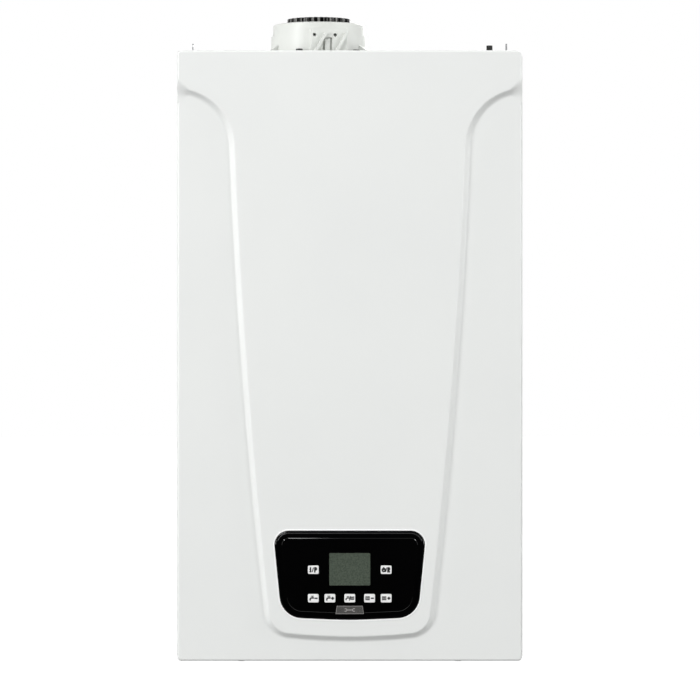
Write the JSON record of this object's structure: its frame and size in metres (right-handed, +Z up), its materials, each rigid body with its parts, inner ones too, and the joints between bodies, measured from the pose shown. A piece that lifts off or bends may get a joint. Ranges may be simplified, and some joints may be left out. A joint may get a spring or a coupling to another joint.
{
  "type": "condensing gas boiler",
  "caption": "Wall-hung condensing gas boiler: white case with a pull-off front cover, black control panel, flue turret on top and pipe tails below.",
  "frame": {"origin": "midway between the two wall-hook holes, on the wall plane at the back of the frame", "axes": "+Z up, +Y into the wall, so the front faces -Y, and +X to the right seen from the front"},
  "size_m": [0.4, 0.2999, 0.7524],
  "materials": {
    "white_paint": "fine satin powder coat",
    "zinc_sheet": "galvanised sheet",
    "white_plastic": "moulded, satin",
    "white_keys": "smooth",
    "black_gloss": "polished piano black",
    "flap_grey": "fine texture",
    "display_glass": "reflective liquid crystal window",
    "black_rubber": "moulded",
    "black_plastic": "moulded",
    "grey_plastic": "moulded",
    "green_board": "glass epoxy board",
    "screw_steel": "blackened screws",
    "stainless": "pressed stainless steel",
    "cast_aluminium": "die cast",
    "motor_paint": "dark motor paint",
    "wheel_metal": "bare",
    "wheel_plastic": "moulded",
    "vessel_red": "oven paint",
    "copper_pipe": "drawn copper",
    "yellow_gas": "painted gas pipe",
    "brass": "turned",
    "ceramic": "glazed",
    "gauge_body": "moulded rim",
    "needle_red": "painted",
    "knob_blue": "moulded",
    "knob_red": "moulded"
  },
  "bodies": {
    "boiler_case": {"back_frame": "zinc_sheet", "right_side_panel": "white_paint", "left_side_panel": "white_paint", "top_panel": "white_paint", "bottom_plate": "zinc_sheet", "flue_turret": "white_plastic", "flue_gasket": "black_rubber", "flue_screws": "screw_steel", "exhaust_duct": "grey_plastic", "flue_seal": "black_rubber", "heat_exchanger": "stainless", "exchanger_brackets": "zinc_sheet", "burner_door": "cast_aluminium", "door_nuts": "screw_steel", "burner_tube": "stainless", "ignition_electrode": "ceramic", "burner_manifold": "cast_aluminium", "fan_housing": "cast_aluminium", "fan_motor": "motor_paint", "gas_mixer": "cast_aluminium", "air_silencer": "black_plastic", "gas_valve": "cast_aluminium", "gas_feed_tube": "yellow_gas", "gas_pipe": "yellow_gas", "expansion_vessel": "vessel_red", "vessel_pipe": "copper_pipe", "charge_valve": "brass", "charge_cap": "black_plastic", "service_tails": "brass", "return_block": "grey_plastic", "flow_block": "grey_plastic", "diverter_motor": "black_plastic", "return_pipe": "copper_pipe", "flow_pipe": "copper_pipe", "plate_exchanger": "stainless", "pump_housing": "black_plastic", "pump_motor": "motor_paint", "pressure_gauge": "gauge_body", "condensate_trap": "grey_plastic", "cable_gland": "black_plastic", "hinge_brackets": "zinc_sheet"},
    "cover": {"front_cover": "white_paint", "cover_screws": "screw_steel"},
    "control_box": {"control_housing": "black_plastic", "fascia": "black_gloss", "display_window": "display_glass", "control_board": "green_board"},
    "button_info_cap": {"button_info": "white_keys"},
    "button_mode_cap": {"button_mode": "white_keys"},
    "button_power_cap": {"button_power": "white_keys"},
    "button_water_less_cap": {"button_water_less": "white_keys"},
    "button_water_more_cap": {"button_water_more": "white_keys"},
    "button_heating_less_cap": {"button_heating_less": "white_keys"},
    "button_heating_more_cap": {"button_heating_more": "white_keys"},
    "flap": {"service_flap": "flap_grey"},
    "fan_wheel": {"fan_impeller": "wheel_metal"},
    "pump_wheel": {"pump_rotor": "wheel_plastic"},
    "needle": {"gauge_needle": "needle_red"},
    "filling_tap": {"filling_knob": "knob_blue"},
    "relief_tap": {"relief_knob": "knob_red"}
  },
  "joints": [
    {"name": "cover_pull", "type": "slide", "parent": "boiler_case", "child": "cover", "axis": [0, -1, 0], "range_m": [0, 0.4]},
    {"name": "control_tilt", "type": "hinge", "parent": "boiler_case", "child": "control_box", "pos_m": [0, -0.2712, -0.679], "axis": [1, 0, 0], "range_deg": [0, 70]},
    {"name": "button_info_press", "type": "slide", "parent": "control_box", "child": "button_info_cap", "axis": [0, 1, 0], "range_m": [0, 0.0008], "stiffness_N_per_m": 400},
    {"name": "button_mode_press", "type": "slide", "parent": "control_box", "child": "button_mode_cap", "axis": [0, 1, 0], "range_m": [0, 0.0008], "stiffness_N_per_m": 400},
    {"name": "button_power_press", "type": "slide", "parent": "control_box", "child": "button_power_cap", "axis": [0, 1, 0], "range_m": [0, 0.0008], "stiffness_N_per_m": 400},
    {"name": "button_water_less_press", "type": "slide", "parent": "control_box", "child": "button_water_less_cap", "axis": [0, 1, 0], "range_m": [0, 0.0008], "stiffness_N_per_m": 400},
    {"name": "button_water_more_press", "type": "slide", "parent": "control_box", "child": "button_water_more_cap", "axis": [0, 1, 0], "range_m": [0, 0.0008], "stiffness_N_per_m": 400},
    {"name": "button_heating_less_press", "type": "slide", "parent": "control_box", "child": "button_heating_less_cap", "axis": [0, 1, 0], "range_m": [0, 0.0008], "stiffness_N_per_m": 400},
    {"name": "button_heating_more_press", "type": "slide", "parent": "control_box", "child": "button_heating_more_cap", "axis": [0, 1, 0], "range_m": [0, 0.0008], "stiffness_N_per_m": 400},
    {"name": "flap_pull", "type": "slide", "parent": "control_box", "child": "flap", "axis": [0, -1, 0], "range_m": [0, 0.012]},
    {"name": "fan_spin", "type": "hinge", "parent": "boiler_case", "child": "fan_wheel", "pos_m": [0.062, -0.20401, -0.43], "axis": [0, 1, 0], "continuous": true},
    {"name": "pump_spin", "type": "hinge", "parent": "boiler_case", "child": "pump_wheel", "pos_m": [0.101, -0.16897, -0.615], "axis": [0, 1, 0], "continuous": true},
    {"name": "needle_turn", "type": "hinge", "parent": "boiler_case", "child": "needle", "pos_m": [0.164, -0.1794, -0.698], "axis": [0, 0, 1], "range_deg": [-120, 120], "stiffness_Nm_per_rad": 0.00002},
    {"name": "filling_turn", "type": "hinge", "parent": "boiler_case", "child": "filling_tap", "pos_m": [0.0975, -0.10501, -0.698], "axis": [0, 0, 1], "range_deg": [0, 90]},
    {"name": "relief_turn", "type": "hinge", "parent": "boiler_case", "child": "relief_tap", "pos_m": [-0.0975, -0.10501, -0.698], "axis": [0, 0, 1], "range_deg": [0, 90]}
  ],
  "couplings": [
    {"joint": "control_tilt", "follows": "cover_pull", "rad_per_m": 3.0543}
  ]
}
